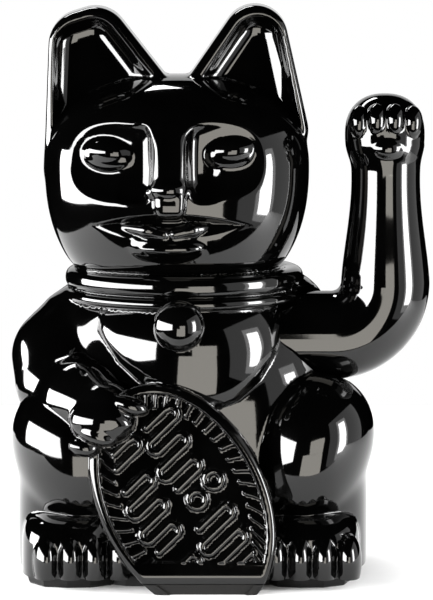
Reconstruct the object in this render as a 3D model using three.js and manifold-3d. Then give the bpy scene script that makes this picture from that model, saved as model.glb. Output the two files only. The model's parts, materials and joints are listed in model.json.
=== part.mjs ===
// Beckoning cat figurine with a swinging arm, as a three.js scene in millimetres.
// +Z is up, the cat looks towards -Y, and +X is the side of the swinging arm.
// The origin is on the underside of the base plate, in the cat's middle plane.
// Two moulded shells stand on a base plate that carries the battery, the drive coil and the
// frame in which the arm and its pendulum rock on a steel pin.

import * as THREE from "three";
import { mergeVertices } from "three/addons/utils/BufferGeometryUtils.js";
import { ParametricGeometry } from "three/addons/geometries/ParametricGeometry.js";
import Module from "manifold-3d";

const wasm = await Module();
wasm.setup();

// ---------- driving dimensions ----------

const GAP = 0.3; // between pieces that touch or are glued
const WALL = 1.8; // of the two body shells

// The body block, from the base plate's top to the collar.
const BODY = { width: 79, depth: 67, height: 76 };
// The head block, from the widest level of the face.
const HEAD = { width: 69.6, depth: 59, crown: 24.2, jaw: 42, aboveCollar: 32 };
const HEAD_POSE = { shift: -3.4, lean: 1.2, turn: 3 }; // mm to the side, degrees
const EAR = { tipRadius: 10.3, spread: 24.4, rise: 31.7, thickness: 12, rim: 2.6, hollow: 4.2 };
const THIGH = { width: 35, depth: 46, height: 43, apart: 64.5 };
const FOOT = { width: 29, depth: 36, height: 21.5, apart: 61 };
const COLLAR = { width: 63, depth: 54, height: 5, roll: 3.2 };
const BELL = { diameter: 13.2 };
const COIN = { length: 64, width: 43.4, tilt: 27.3, recline: 7, thickness: 15, rim: 2.2, relief: 0.9 };
const SEAM_Y = 2; // the plane between the front and back shells

const BASE = { thickness: 2.6, inset: 1 };

// The swinging arm and the pin it rocks on.
const ARM = {
  tubeRadius: 11.7,
  wristRadius: 9,
  pawRadius: 10.6,
  bend: 12, // radius of the elbow's centre line
  reach: 51.7, // from the middle plane to the forearm's centre line
  forearm: 64, // from the pin's level to the tip of the paw
  wall: 1.4,
  y: -4,
  inside: 28, // where the open end of the arm lies
  holeClearance: 1,
};
const PIVOT_Z = 63.3;

const PIN = { diameter: 2, bearingClearance: 0.35 };
const LEVER = { x: 13, hubRadius: 3.6, hubLength: 6, barWidth: 6, barThickness: 4, airGap: 2.7 };
const MAGNET = { diameter: 15, height: 6, cupWall: 1.2 };

const FRAME = { upright: 2.6, span: 19.4, foot: 2.4, topWidth: 8, baseWidth: 14, crown: 3.4 };
const BOARD = { thickness: 1.2, aheadOfCoil: 13, standoff: 3.4 };
const COIL = { flange: 15, core: 5, height: 6.4, flangeThickness: 0.8, wireBuild: 0.7 };

const CELL = { diameter: 14.2, length: 49.3, nub: 5.4, nubHeight: 1.1 };
const BAY = { wall: 1.4, slack: 0.4, springRoom: 2.8, plateRoom: 1.2, behindCoil: 1, underMagnet: 0.7 };
const DOOR = { thickness: 1.6, recess: 0.4, clearance: 0.35, trunnion: 1.1, trunnionLength: 1.2 };

const SCREW = { shank: 2.2, head: 4.4, headHeight: 1.4, length: 9.5, slot: 0.7 };
const BOSS = { radius: 3.2, height: 12 };
const WIRE = 1.2;

// ---------- small tools ----------

const rad = THREE.MathUtils.degToRad;

/** A closed three.js geometry as a solid, with its faces turned outwards. */
function solid(geometry) {
  const bare = new THREE.BufferGeometry();
  bare.setAttribute("position", geometry.getAttribute("position").clone());
  if (geometry.index) bare.setIndex(geometry.index.clone());
  const merged = mergeVertices(bare, 1e-4);
  const triVerts = new Uint32Array(merged.index.array);
  const vertProperties = merged.attributes.position.array;
  const made = new wasm.Manifold(new wasm.Mesh({ numProp: 3, vertProperties, triVerts }));
  if (made.volume() >= 0) return made;
  for (let i = 0; i < triVerts.length; i += 3) {
    [triVerts[i + 1], triVerts[i + 2]] = [triVerts[i + 2], triVerts[i + 1]];
  }
  return new wasm.Manifold(new wasm.Mesh({ numProp: 3, vertProperties, triVerts }));
}

function join(...solids) {
  return solids.reduce((all, next) => all.add(next));
}

function cut(from, ...tools) {
  return tools.reduce((left, tool) => left.subtract(tool), from);
}

/** A box from its lowest and highest corners. */
function block(low, high) {
  const size = high.map((value, i) => value - low[i]);
  const geometry = new THREE.BoxGeometry(...size);
  return solid(geometry.translate(...low.map((value, i) => value + size[i] / 2)));
}

/** A round bar along an axis, starting at a point. */
function bar(axis, radius, from, length, sides = 24) {
  const geometry = new THREE.CylinderGeometry(radius, radius, length, sides);
  geometry.translate(0, length / 2, 0);
  if (axis === "x") geometry.rotateZ(-Math.PI / 2);
  if (axis === "z") geometry.rotateX(Math.PI / 2);
  return solid(geometry.translate(...from));
}

/** A rounded mass: an ellipsoid whose squareness rises above 2 as it nears a box. */
function pebble({ at, size, squareness = 2, down, inset = 0, fineness = 1 }) {
  const wide = Math.round(28 * fineness);
  const tall = Math.round(18 * fineness);
  const geometry = new THREE.SphereGeometry(1, wide, tall).rotateX(Math.PI / 2);
  const points = geometry.getAttribute("position");
  const point = new THREE.Vector3();
  for (let i = 0; i < points.count; i++) {
    point.fromBufferAttribute(points, i);
    const norm = [point.x, point.y, point.z].reduce((sum, c) => sum + Math.abs(c) ** squareness, 0);
    point.multiplyScalar(norm ** (-1 / squareness));
    const below = point.z < 0 && down !== undefined;
    point.x *= size[0] - inset;
    point.y *= size[1] - inset;
    point.z *= (below ? down : size[2]) - inset;
    points.setXYZ(i, point.x, point.y, point.z);
  }
  return { geometry, at };
}

/** A pebble set in its place, turned about X, Y and Z in degrees. */
function mass(shape, turn = [0, 0, 0]) {
  const { geometry, at } = pebble(shape);
  geometry.rotateX(rad(turn[0])).rotateY(rad(turn[1])).rotateZ(rad(turn[2]));
  return solid(geometry.translate(...at));
}

/** An outline in X and Z, drawn as a shape and pushed back along Y from its front face. */
function pushed(shape, front, depth, options = {}) {
  const { curveSegments = 10, bevel = 0 } = options;
  const geometry = new THREE.ExtrudeGeometry(shape, {
    depth: depth - 2 * bevel,
    curveSegments,
    bevelEnabled: bevel > 0,
    bevelThickness: bevel,
    bevelSize: bevel,
    bevelOffset: -bevel,
    bevelSegments: 3,
  });
  return solid(geometry.translate(0, 0, bevel).rotateX(Math.PI / 2).translate(0, front + depth, 0));
}

/** A profile of [radius, height] points turned about the Z axis. */
function turned(profile, sides = 32) {
  const points = profile.map(([radius, height]) => new THREE.Vector2(radius, height));
  return new THREE.LatheGeometry(points, sides).rotateX(Math.PI / 2);
}

/** A round wire that follows a smooth curve through points chosen by hand. */
function wireAlong(route, diameter, steps) {
  const curve = new THREE.CatmullRomCurve3(route.map((point) => new THREE.Vector3(...point)));
  const section = new THREE.Shape().absarc(0, 0, diameter / 2, 0, 2 * Math.PI);
  return solid(new THREE.ExtrudeGeometry(section, { steps, extrudePath: curve, curveSegments: 4 }));
}

const group = new THREE.Group();

/** Adds one named piece to the object. */
function piece(name, shape, material) {
  const mesh = shape.getMesh();
  const stride = mesh.numProp;
  const places = new Float32Array(mesh.numVert * 3);
  for (let i = 0; i < mesh.numVert; i++) {
    places.set(mesh.vertProperties.subarray(i * stride, i * stride + 3), i * 3);
  }
  const geometry = new THREE.BufferGeometry();
  geometry.setAttribute("position", new THREE.BufferAttribute(places, 3));
  geometry.setIndex(new THREE.BufferAttribute(mesh.triVerts, 1));
  geometry.computeVertexNormals();
  const made = new THREE.Mesh(geometry, material);
  made.name = name;
  group.add(made);
}

function material(color, roughness, metalness) {
  return new THREE.MeshStandardMaterial({ color, roughness, metalness });
}

const glossBlack = material(0x060606, 0.05, 0);
const plainBlack = material(0x141414, 0.5, 0);
const nylon = material(0xe9e6dc, 0.5, 0);
const steel = material(0xb9bbbd, 0.3, 1);
const magnetCoat = material(0x8f9396, 0.25, 1);
const copper = material(0xb4612c, 0.35, 1);
const board = material(0x8a6a34, 0.6, 0);
const component = material(0x1c1c1e, 0.4, 0);
const redInsulation = material(0xb01818, 0.45, 0);
const blackInsulation = material(0x101010, 0.45, 0);
const cellJacket = material(0x7d8488, 0.35, 0.2);

// ---------- the layout of the battery bay and the base screws ----------

const bayY =
  ARM.y + COIL.flange / 2 + BAY.behindCoil + BAY.wall + BAY.slack + CELL.diameter / 2;
const bayZ = BASE.thickness + CELL.diameter / 2;
const bay = {
  left: -CELL.length / 2 - BAY.springRoom,
  right: CELL.length / 2 + CELL.nubHeight + BAY.plateRoom,
  front: bayY - CELL.diameter / 2 - BAY.slack,
  back: bayY + CELL.diameter / 2 + BAY.slack,
  top: bayZ + CELL.diameter / 2 + BAY.slack,
};
const backBossY = bay.back + BAY.wall + BOSS.radius + 2 * GAP;
const bossPlaces = {
  front_left: [-33, -17],
  front_right: [33, -17],
  back_left: [-20, backBossY],
  back_right: [20, backBossY],
};

// ---------- the sculpted figure ----------

const bodyHalf = BODY.width / 2;
const bodyDeep = BODY.depth / 2;
const shellFloor = BASE.thickness + GAP;
const collarZ = BODY.height + COLLAR.height / 2;
const headZ = BODY.height + HEAD.aboveCollar;
const headY = -1.5;
const headLevel = [HEAD_POSE.shift, headY, headZ];

/** Leans and turns a head solid about the middle of the head. */
function posedOnNeck(shape) {
  const [x, y, z] = headLevel;
  const turn = [0, HEAD_POSE.lean * -1, HEAD_POSE.turn * -1];
  return shape.translate([-x, -y, -z]).rotate(turn).translate([x, y, z]);
}

/** The ear's outline: a round tip with an upright outer side and a slanting inner side. */
function earOutline(side, trim) {
  const tipX = side * EAR.spread;
  const tipZ = EAR.rise;
  const radius = EAR.tipRadius - trim;
  const outer = tipX + side * radius;
  const slant = rad(38.5);
  const rightSide = side > 0;
  const start = rightSide ? 0 : Math.PI;
  const end = rightSide ? Math.PI - slant : slant;
  const shape = new THREE.Shape();
  shape.moveTo(outer, 12);
  shape.lineTo(outer, tipZ);
  shape.absarc(tipX, tipZ, radius, start, end, !rightSide);
  const inner = tipX - side * Math.cos(slant) * radius;
  const drop = tipZ + Math.sin(slant) * radius - 12;
  shape.lineTo(inner - side * drop * Math.tan(slant), 12);
  shape.closePath();
  return shape;
}

function ear(side) {
  const front = -EAR.thickness / 2 + 1;
  const outside = pushed(earOutline(side, 0), front, EAR.thickness, { bevel: 3.4, curveSegments: 7 });
  const inside = pushed(earOutline(side, EAR.rim), front - 1, EAR.hollow + 1, { curveSegments: 7 });
  return cut(outside, inside).translate(headLevel);
}

/** The hollows that the eyes lie in, grown outwards to give them a wall from behind. */
function eyeSockets(grown) {
  return [-1, 1].map((side) =>
    mass({
      at: [HEAD_POSE.shift + side * 15, headY - HEAD.depth / 2 - 3, headZ + 5.6],
      size: [10.5, 7.4, 7],
      inset: -grown,
      fineness: 0.45,
    }),
  );
}

/** The face: sockets, eyes, nose, mouth and chin on the front of the head. */
function faced(head) {
  const faceY = headY - HEAD.depth / 2;
  const feature = (x, y, z, size, fineness = 0.45) =>
    mass({ at: [HEAD_POSE.shift + x, faceY + y, headZ + z], size, squareness: 2.2, fineness });
  const features = [
    ...[-1, 1].map((side) => feature(side * 15, 6.2, 5, [6.6, 6, 3.9])),
    feature(0, 3, 5, [3.4, 5, 12]),
    feature(0, 2.4, -2.8, [4.6, 4.8, 3.2]),
    ...[-1, 1].map((side) => feature(side * 4, 3.2, -5, [2.4, 3.4, 2.2], 0.35)),
    feature(0, 4.4, -15, [13, 4.6, 3.2]),
    feature(0, 6, -18.6, [8, 4.6, 2.6]),
    feature(0, 9.4, -22, [10, 6, 5]),
  ];
  return join(cut(head, ...eyeSockets(0)), ...features);
}

function headMass(inset) {
  const size = [HEAD.width / 2, HEAD.depth / 2, HEAD.crown];
  return mass({ at: headLevel, size, down: HEAD.jaw, squareness: 2.4, inset, fineness: inset ? 0.7 : 1 });
}

/** The trunk, thighs, feet and shoulders, each smaller by an inset so that it can also be the hollow. */
function bodyMasses(inset) {
  const fineness = inset ? 0.6 : 0.9;
  const shoulder = (side, size, x, y, z) =>
    mass({ at: [side * x, y, z], size, inset, fineness: fineness * 0.8 });
  const trunk = mass({
    at: [0.5, 2, 0.4 * BODY.height],
    size: [bodyHalf, bodyDeep, 0.66 * BODY.height],
    down: 0.95 * BODY.height,
    squareness: 2.6,
    inset,
    fineness,
  });
  const neck = mass({
    at: [-1.5, 0, 0.94 * BODY.height],
    size: [COLLAR.width / 2 - 1, COLLAR.depth / 2 - 1, 13],
    inset,
    fineness,
  });
  const thighs = [-1, 1].map((side) =>
    mass({
      at: [side * (THIGH.apart / 2) + 0.7, -5, 31],
      size: [THIGH.width / 2, THIGH.depth / 2, THIGH.height / 2],
      inset,
      fineness: fineness * 0.9,
    }),
  );
  const feet = [-1, 1].map((side) =>
    mass({
      at: [(side * FOOT.apart) / 2, -15, 9],
      size: [FOOT.width / 2, FOOT.depth / 2, FOOT.height / 2],
      down: 16,
      squareness: 2.7,
      inset,
      fineness: fineness * 0.8,
    }),
  );
  return [
    trunk,
    neck,
    ...thighs,
    ...feet,
    shoulder(1, [15.5, 16, 16], 20, 4, PIVOT_Z),
    shoulder(-1, [14.2, 15, 15], 32.5, -3, PIVOT_Z - 6.3),
    shoulder(-1, [12, 14, 12.5], 25, 0, PIVOT_Z + 1.5),
  ];
}

/** The arm that holds the coin, from the elbow to the paw on the coin's edge. */
function holdingArm() {
  const foreArm = mass(
    { at: [-30.5, -19, 48], size: [11.5, 21, 12.5], fineness: 0.7 },
    [20, 0, -22],
  );
  const palm = mass({ at: [-22, -33, 45.5], size: [8.5, 8, 7.5], fineness: 0.5 });
  const fingers = [0, 1, 2, 3].map((n) =>
    mass({
      at: [-28 + n * 4.6, -38.6 + n * 0.3, 39 + n * 1.7],
      size: [2.7, 3.4, 4.4],
      fineness: 0.32,
    }),
  );
  return join(foreArm, palm, ...fingers);
}

function collar() {
  const band = COLLAR.height / 2;
  const across = 3.4;
  const ring = (radius, level, half, bulge) => {
    const profile = [];
    const sides = 8;
    for (let i = 0; i <= sides; i++) {
      const angle = (2 * Math.PI * i) / sides;
      profile.push([radius + bulge * Math.cos(angle), level + half * Math.sin(angle)]);
    }
    const round = turned(profile, 36);
    const flatten = (COLLAR.depth - 2 * across) / (COLLAR.width - 2 * across);
    return solid(round.scale(1, flatten, 1).translate(-1.5, -0.5, 0));
  };
  const centre = COLLAR.width / 2 - across;
  const upper = ring(centre, collarZ, band, across);
  const lower = ring(centre, collarZ - band - COLLAR.roll / 2, COLLAR.roll / 2 + 0.8, across - 1);
  return join(upper, lower);
}

function bib() {
  return mass(
    { at: [1, -11.5, BODY.height - 13.5], size: [25, 18, 18], squareness: 2.2, fineness: 0.8 },
    [-6, 4, 0],
  );
}

/** The oval coin: a thick tablet that leans on the belly, with a rim round its field. */
function coin() {
  const oval = (trim) => {
    const shape = new THREE.Shape();
    return shape.absellipse(0, 0, COIN.width / 2 - trim, COIN.length / 2 - trim, 0, 2 * Math.PI);
  };
  const tablet = pushed(oval(0), 0, COIN.thickness, { bevel: 1, curveSegments: 26 });
  const field = pushed(oval(COIN.rim), -1, 1 + COIN.relief, { curveSegments: 22 });
  return cut(tablet, field)
    .rotate([0, -COIN.tilt, 0])
    .rotate([-COIN.recline, 0, 0])
    .translate([-1.8, -37.6, 24.5]);
}

function bell() {
  const radius = BELL.diameter / 2;
  const at = [-2.2, -COLLAR.depth / 2 - 1.6, collarZ - COLLAR.height / 2 - radius + 0.6];
  return mass({ at, size: [radius, radius, radius], fineness: 0.6 });
}

const wholeHead = posedOnNeck(join(faced(headMass(0)), ear(-1), ear(1)));
const figure = join(...bodyMasses(0), holdingArm(), bib(), coin(), collar(), bell(), wholeHead);

// What is hollow inside the shells: the big masses, thinner by the wall all round.
const earCore = (side) =>
  mass({
    at: [HEAD_POSE.shift + side * (EAR.spread - 2), headY + 4, headZ + EAR.rise - 6],
    size: [6, 2.6, 11],
    fineness: 0.35,
  });
const headHollow = cut(join(headMass(WALL), earCore(-1), earCore(1)), ...eyeSockets(WALL));
const hollow = join(...bodyMasses(WALL), posedOnNeck(headHollow));

/** The figure's own cross section over a range of heights, inset from its skin. */
const below = 400;
const standing = block([-below, -below, shellFloor], [below, below, below]);
const shellHole = bar(
  "x",
  ARM.tubeRadius + ARM.holeClearance,
  [ARM.inside - 6, ARM.y, PIVOT_Z],
  60,
  36,
);


/** A screw boss tied to the shell's wall by a rib, trimmed to the figure's own skin. */
function boss([x, y]) {
  const outward = y < 0 ? -18 : 6;
  const rib = block(
    [x - 0.9, Math.min(y, y + outward), shellFloor],
    [x + 0.9, Math.max(y, y + outward), shellFloor + BOSS.height],
  );
  const post = bar("z", BOSS.radius, [x, y, shellFloor], BOSS.height, 16);
  const bore = bar("z", SCREW.shank / 2 + GAP, [x, y, shellFloor - 1], SCREW.length + 1, 12);
  return cut(join(post, rib), bore).intersect(figure);
}

const skin = cut(figure, hollow).intersect(standing).subtract(shellHole);
const bosses = join(...Object.values(bossPlaces).map(boss));
const bores = join(
  ...Object.values(bossPlaces).map(([x, y]) =>
    bar("z", SCREW.shank / 2 + GAP, [x, y, shellFloor - 1], SCREW.length + 1, 12),
  ),
);
const shells = cut(join(skin, bosses), bores);
const forward = block([-below, -below, 0], [below, SEAM_Y - GAP / 2, below]);
const behind = block([-below, SEAM_Y + GAP / 2, 0], [below, below, below]);
const largest = (shape) =>
  shape.decompose().reduce((best, next) => (next.volume() > best.volume() ? next : best));
piece("front_shell", largest(shells.intersect(forward)), glossBlack);
piece("back_shell", largest(shells.intersect(behind)), glossBlack);

// ---------- the base plate, with the battery bay and its door ----------

const frameScrews = [-1, 1].map((side) => [LEVER.x, ARM.y - 8 + side * 8.5]);
const hinge = { y: bay.front + DOOR.thickness / 2 + DOOR.clearance, z: DOOR.recess + DOOR.thickness / 2 };

function basePlate() {
  const slab = block([-below, -below, 0], [below, below, BASE.thickness]);
  const outline = join(...bodyMasses(BASE.inset), coin());
  const plate = outline.intersect(slab);
  const wall = BAY.wall;
  const box = block(
    [bay.left - wall, bay.front - wall, BASE.thickness / 2],
    [bay.right + wall, bay.back + wall, bay.top + wall],
  );
  const room = block([bay.left, bay.front, -1], [bay.right, bay.back, bay.top]);
  const trunnionHole = bar(
    "x",
    DOOR.trunnion / 2 + DOOR.clearance,
    [bay.left - DOOR.trunnionLength - DOOR.clearance, hinge.y, hinge.z],
    bay.right - bay.left + 2 * (DOOR.trunnionLength + DOOR.clearance),
    12,
  );
  const fingerNotch = bar("z", 4, [0, bay.back + 1.5, -1], 1 + DOOR.recess + 0.6, 20);
  const screwHoles = [...Object.values(bossPlaces), ...frameScrews].flatMap(([x, y]) => [
    bar("z", SCREW.shank / 2 + GAP, [x, y, -1], 6, 12),
    bar("z", SCREW.head / 2 + GAP, [x, y, -1], 1 + GAP + SCREW.headHeight + GAP, 16),
  ]);
  const clearOfShell = join(...bodyMasses(WALL + 2 * GAP), slab);
  return cut(join(plate, box.intersect(clearOfShell)), room, trunnionHole, fingerNotch, ...screwHoles);
}
piece("base_plate", basePlate(), plainBlack);

function batteryDoor() {
  const low = [bay.left + DOOR.clearance, hinge.y, DOOR.recess];
  const high = [bay.right - DOOR.clearance, bay.back - DOOR.clearance, DOOR.recess + DOOR.thickness];
  const edge = bar("x", DOOR.thickness / 2, [low[0], hinge.y, hinge.z], high[0] - low[0], 12);
  const trunnions = bar(
    "x",
    DOOR.trunnion / 2,
    [low[0] - DOOR.trunnionLength, hinge.y, hinge.z],
    high[0] - low[0] + 2 * DOOR.trunnionLength,
    10,
  );
  const tongueBack = high[1] - 0.7;
  const tongue = block([-5, tongueBack - 1.2, high[2] - 0.2], [5, tongueBack, high[2] + 1.9]);
  const ribs = [-20, -12, 12, 20].map((x) =>
    block([x - 0.5, low[1] + 3, high[2] - 0.2], [x + 0.5, low[1] + 5, high[2] + 0.1]),
  );
  return join(block(low, high), edge, trunnions, tongue, ...ribs);
}
piece("battery_door", batteryDoor(), plainBlack);

/** A pan-head screw standing on its head, with a cross recess. */
function screw(at, length = SCREW.length) {
  const [x, y, z] = at;
  const head = bar("z", SCREW.head / 2, [x, y, z], SCREW.headHeight, 16);
  const shank = bar("z", SCREW.shank / 2, [x, y, z + SCREW.headHeight / 2], length, 12);
  const half = SCREW.slot / 2;
  const reach = SCREW.head * 0.32;
  const deep = 0.7;
  const slots = [
    block([x - reach, y - half, z - 1], [x + reach, y + half, z + deep]),
    block([x - half, y - reach, z - 1], [x + half, y + reach, z + deep]),
  ];
  return cut(join(head, shank), ...slots);
}
for (const [name, [x, y]] of Object.entries(bossPlaces)) {
  piece("base_screw_" + name, screw([x, y, GAP]), steel);
}

// ---------- the cell and its contacts ----------

function cell() {
  const start = -CELL.length / 2;
  const can = bar("x", CELL.diameter / 2, [start, bayY, bayZ], CELL.length, 28);
  const nub = bar("x", CELL.nub / 2, [start + CELL.length - 0.1, bayY, bayZ], CELL.nubHeight + 0.1, 14);
  return join(can, nub);
}
piece("battery_cell", cell(), cellJacket);

const contact = { thickness: 0.4, half: 4.6 };
piece(
  "positive_contact",
  block(
    [bay.right - GAP - contact.thickness, bayY - contact.half, bayZ - contact.half],
    [bay.right - GAP, bayY + contact.half, bayZ + contact.half],
  ),
  steel,
);

/** The negative contact: a conical spring squeezed between the bay's end wall and the cell. */
function contactSpring() {
  const turns = 2.2;
  const wire = 0.5;
  const from = bay.left + GAP + wire / 2;
  const to = -CELL.length / 2 - 1.5 * GAP - wire / 2;
  const coil = new (class extends THREE.Curve {
    getPoint(t, target = new THREE.Vector3()) {
      const angle = 2 * Math.PI * turns * t;
      const radius = 4.4 - 2 * t;
      return target.set(from + (to - from) * t, bayY + radius * Math.cos(angle), bayZ + radius * Math.sin(angle));
    }
  })();
  const section = new THREE.Shape().absarc(0, 0, wire / 2, 0, 2 * Math.PI);
  return solid(new THREE.ExtrudeGeometry(section, { steps: 40, extrudePath: coil, curveSegments: 3 }));
}
piece("negative_contact_spring", contactSpring(), steel);

// ---------- the pendulum frame with the drive board ----------

const uprightInner = LEVER.x - FRAME.span / 2 - FRAME.upright;
const uprightOuter = LEVER.x + FRAME.span / 2;
const footTop = shellFloor + FRAME.foot;
const frameBack = bay.front - BAY.wall - GAP;
const boardZ = footTop + BOARD.standoff;
const coilFront = ARM.y - COIL.flange / 2;
const boardFront = coilFront - BOARD.aheadOfCoil;
const boardBack = frameBack - 0.2;
const boardHalf = FRAME.span / 2 - 0.5;
const boardScrews = [-1, 1].map((side) => [
  LEVER.x + side * (boardHalf - 3),
  coilFront - SCREW.head / 2 - 2 * GAP,
]);

function pendulumFrame() {
  const top = PIVOT_Z + FRAME.crown;
  const upright = (x) => {
    const shape = new THREE.Shape();
    const halfBase = FRAME.baseWidth / 2;
    const halfTop = FRAME.topWidth / 2;
    shape.moveTo(-halfBase, 0);
    shape.lineTo(halfBase, 0);
    shape.lineTo(halfTop, top - shellFloor - halfTop);
    shape.absarc(0, top - shellFloor - halfTop, halfTop, 0, Math.PI);
    shape.closePath();
    const geometry = new THREE.ExtrudeGeometry(shape, { depth: FRAME.upright, bevelEnabled: false, curveSegments: 8 });
    geometry.rotateX(Math.PI / 2).rotateZ(Math.PI / 2);
    return solid(geometry.translate(x, ARM.y, shellFloor));
  };
  const foot = block(
    [uprightInner, boardFront, shellFloor],
    [uprightOuter + FRAME.upright, frameBack, footTop],
  );
  const posts = boardScrews.map(([x, y]) => bar("z", 2.4, [x, y, footTop - 0.2], BOARD.standoff + 0.2 - GAP, 12));
  const bearing = bar(
    "x",
    PIN.diameter / 2 + PIN.bearingClearance,
    [uprightInner - 1, ARM.y, PIVOT_Z],
    FRAME.span + 2 * FRAME.upright + 2,
    16,
  );
  const studs = frameScrews.map(([x, y]) => bar("z", 2.6, [x, y, footTop - 0.2], 1.7, 12));
  const screwBores = [
    ...boardScrews.map(([x, y]) => bar("z", SCREW.shank / 2 + GAP, [x, y, footTop - 0.6], 8, 12)),
    ...frameScrews.map(([x, y]) => bar("z", SCREW.shank / 2 + GAP, [x, y, 0], 8, 12)),
  ];
  const uprights = [upright(uprightInner), upright(uprightOuter)];
  return cut(join(foot, ...uprights, ...posts, ...studs), bearing, ...screwBores);
}
piece("pendulum_frame", pendulumFrame(), nylon);
frameScrews.forEach(([x, y], n) => {
  piece("frame_screw_" + (n + 1), screw([x, y, GAP], 5), steel);
});

function circuitBoard() {
  const plate = block(
    [LEVER.x - boardHalf, boardFront, boardZ],
    [LEVER.x + boardHalf, boardBack, boardZ + BOARD.thickness],
  );
  const holes = boardScrews.map(([x, y]) => bar("z", SCREW.shank / 2 + GAP, [x, y, boardZ - 1], 4, 12));
  return cut(plate, ...holes);
}
piece("circuit_board", circuitBoard(), board);

boardScrews.forEach(([x, y], n) => {
  const upsideDown = screw([0, 0, 0], 3.2).rotate([180, 0, 0]);
  const seat = boardZ + BOARD.thickness + GAP + SCREW.headHeight;
  piece("board_screw_" + (n + 1), upsideDown.translate([x, y, seat]), steel);
});

const coilFloor = boardZ + BOARD.thickness + GAP;
const coilTop = coilFloor + COIL.height;

function coilBobbin() {
  const flange = COIL.flange / 2;
  const core = COIL.core / 2;
  const rim = COIL.flangeThickness;
  const profile = [
    [1, coilFloor],
    [flange, coilFloor],
    [flange, coilFloor + rim],
    [core, coilFloor + rim],
    [core, coilTop - rim],
    [flange, coilTop - rim],
    [flange, coilTop],
    [1, coilTop],
    [1, coilFloor],
  ];
  return solid(turned(profile, 28).translate(LEVER.x, ARM.y, 0));
}
piece("coil_bobbin", coilBobbin(), nylon);

function coilWinding() {
  const inner = COIL.core / 2 + GAP;
  const outer = COIL.flange / 2 - COIL.wireBuild;
  const low = coilFloor + COIL.flangeThickness + GAP;
  const high = coilTop - COIL.flangeThickness - GAP;
  const profile = [
    [inner, low],
    [outer, low],
    [outer, high],
    [inner, high],
    [inner, low],
  ];
  return solid(turned(profile, 28).translate(LEVER.x, ARM.y, 0));
}
piece("coil_winding", coilWinding(), copper);

const componentFloor = boardZ + BOARD.thickness + GAP;
function transistor() {
  const [x, y] = [LEVER.x - 4.5, boardFront + 4.4];
  const body = bar("z", 2.3, [x, y, componentFloor], 4.6, 16);
  const flat = block([x - 4, y + 1.4, componentFloor - 1], [x + 4, y + 4, componentFloor + 8]);
  return cut(body, flat);
}
piece("transistor", transistor(), component);
piece("capacitor", bar("z", 2.5, [LEVER.x + 4.5, boardFront + 4.4, componentFloor], 7, 20), component);
piece("resistor", bar("x", 1.1, [LEVER.x - 3.1, boardScrews[0][1], componentFloor + 1.2], 6.2, 12), component);

// ---------- wires ----------

// Each wire leaves its contact over the bay's front wall, drops beside the pendulum frame and
// comes back over the front edge of the board.
const overBay = bay.top + BAY.wall + WIRE / 2 + 2 * GAP;
const aheadOfBay = bay.front - BAY.wall - WIRE / 2 - 2 * GAP;
const onBoard = componentFloor + WIRE / 2 + 0.1;
const besideFrame = uprightOuter + FRAME.upright + WIRE / 2 + 3 * GAP;
const redRoute = [
  [besideFrame, bayY - 2, overBay],
  [besideFrame, bay.front - BAY.wall / 2, overBay + 0.2],
  [besideFrame, aheadOfBay, overBay - 1.2],
  [besideFrame, aheadOfBay - 2, 9],
  [besideFrame, -14, 7],
  [besideFrame - 0.2, -21, 8.5],
  [besideFrame - 4, boardFront - 1.4, onBoard + 1.4],
  [LEVER.x + 8, boardFront + 0.6, onBoard],
  [LEVER.x + 8.2, boardFront + 3.4, onBoard],
];
piece("red_wire", wireAlong(redRoute, WIRE, 44), redInsulation);

const blackRoute = [
  [bay.left + 4, bayY - 2, overBay],
  [bay.left + 4, bay.front - BAY.wall / 2, overBay + 0.2],
  [bay.left + 4, aheadOfBay, overBay - 1.2],
  [bay.left + 5, aheadOfBay - 2, 8],
  [-12, -4, 4.6],
  [-4, -12, 5],
  [-1.6, -20, 8.5],
  [LEVER.x - 11, boardFront - 1.4, onBoard + 1.4],
  [LEVER.x - 8, boardFront + 0.6, onBoard],
  [LEVER.x - 7.7, boardFront + 4, onBoard],
];
piece("black_wire", wireAlong(blackRoute, WIRE, 48), blackInsulation);

// ---------- the swinging arm and its pendulum ----------

const elbowX = ARM.reach - ARM.bend;
const straight = elbowX - ARM.inside;
const quarter = (Math.PI / 2) * ARM.bend;
const rise = ARM.forearm - ARM.bend;

/** Radius of the arm at a height above the end of the elbow, as a smooth curve to the paw. */
const swell = new THREE.SplineCurve(
  [
    [0, ARM.tubeRadius],
    [0.2, ARM.tubeRadius - 0.9],
    [0.36, ARM.wristRadius + 0.4],
    [0.52, ARM.wristRadius],
    [0.64, ARM.wristRadius + 0.5],
    [0.76, ARM.pawRadius],
    [0.87, ARM.pawRadius - 0.1],
    [0.95, ARM.pawRadius - 2.4],
    [0.99, ARM.pawRadius - 6],
    [1, 0],
  ].map(([share, radius]) => new THREE.Vector2(share * rise, radius)),
);

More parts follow.
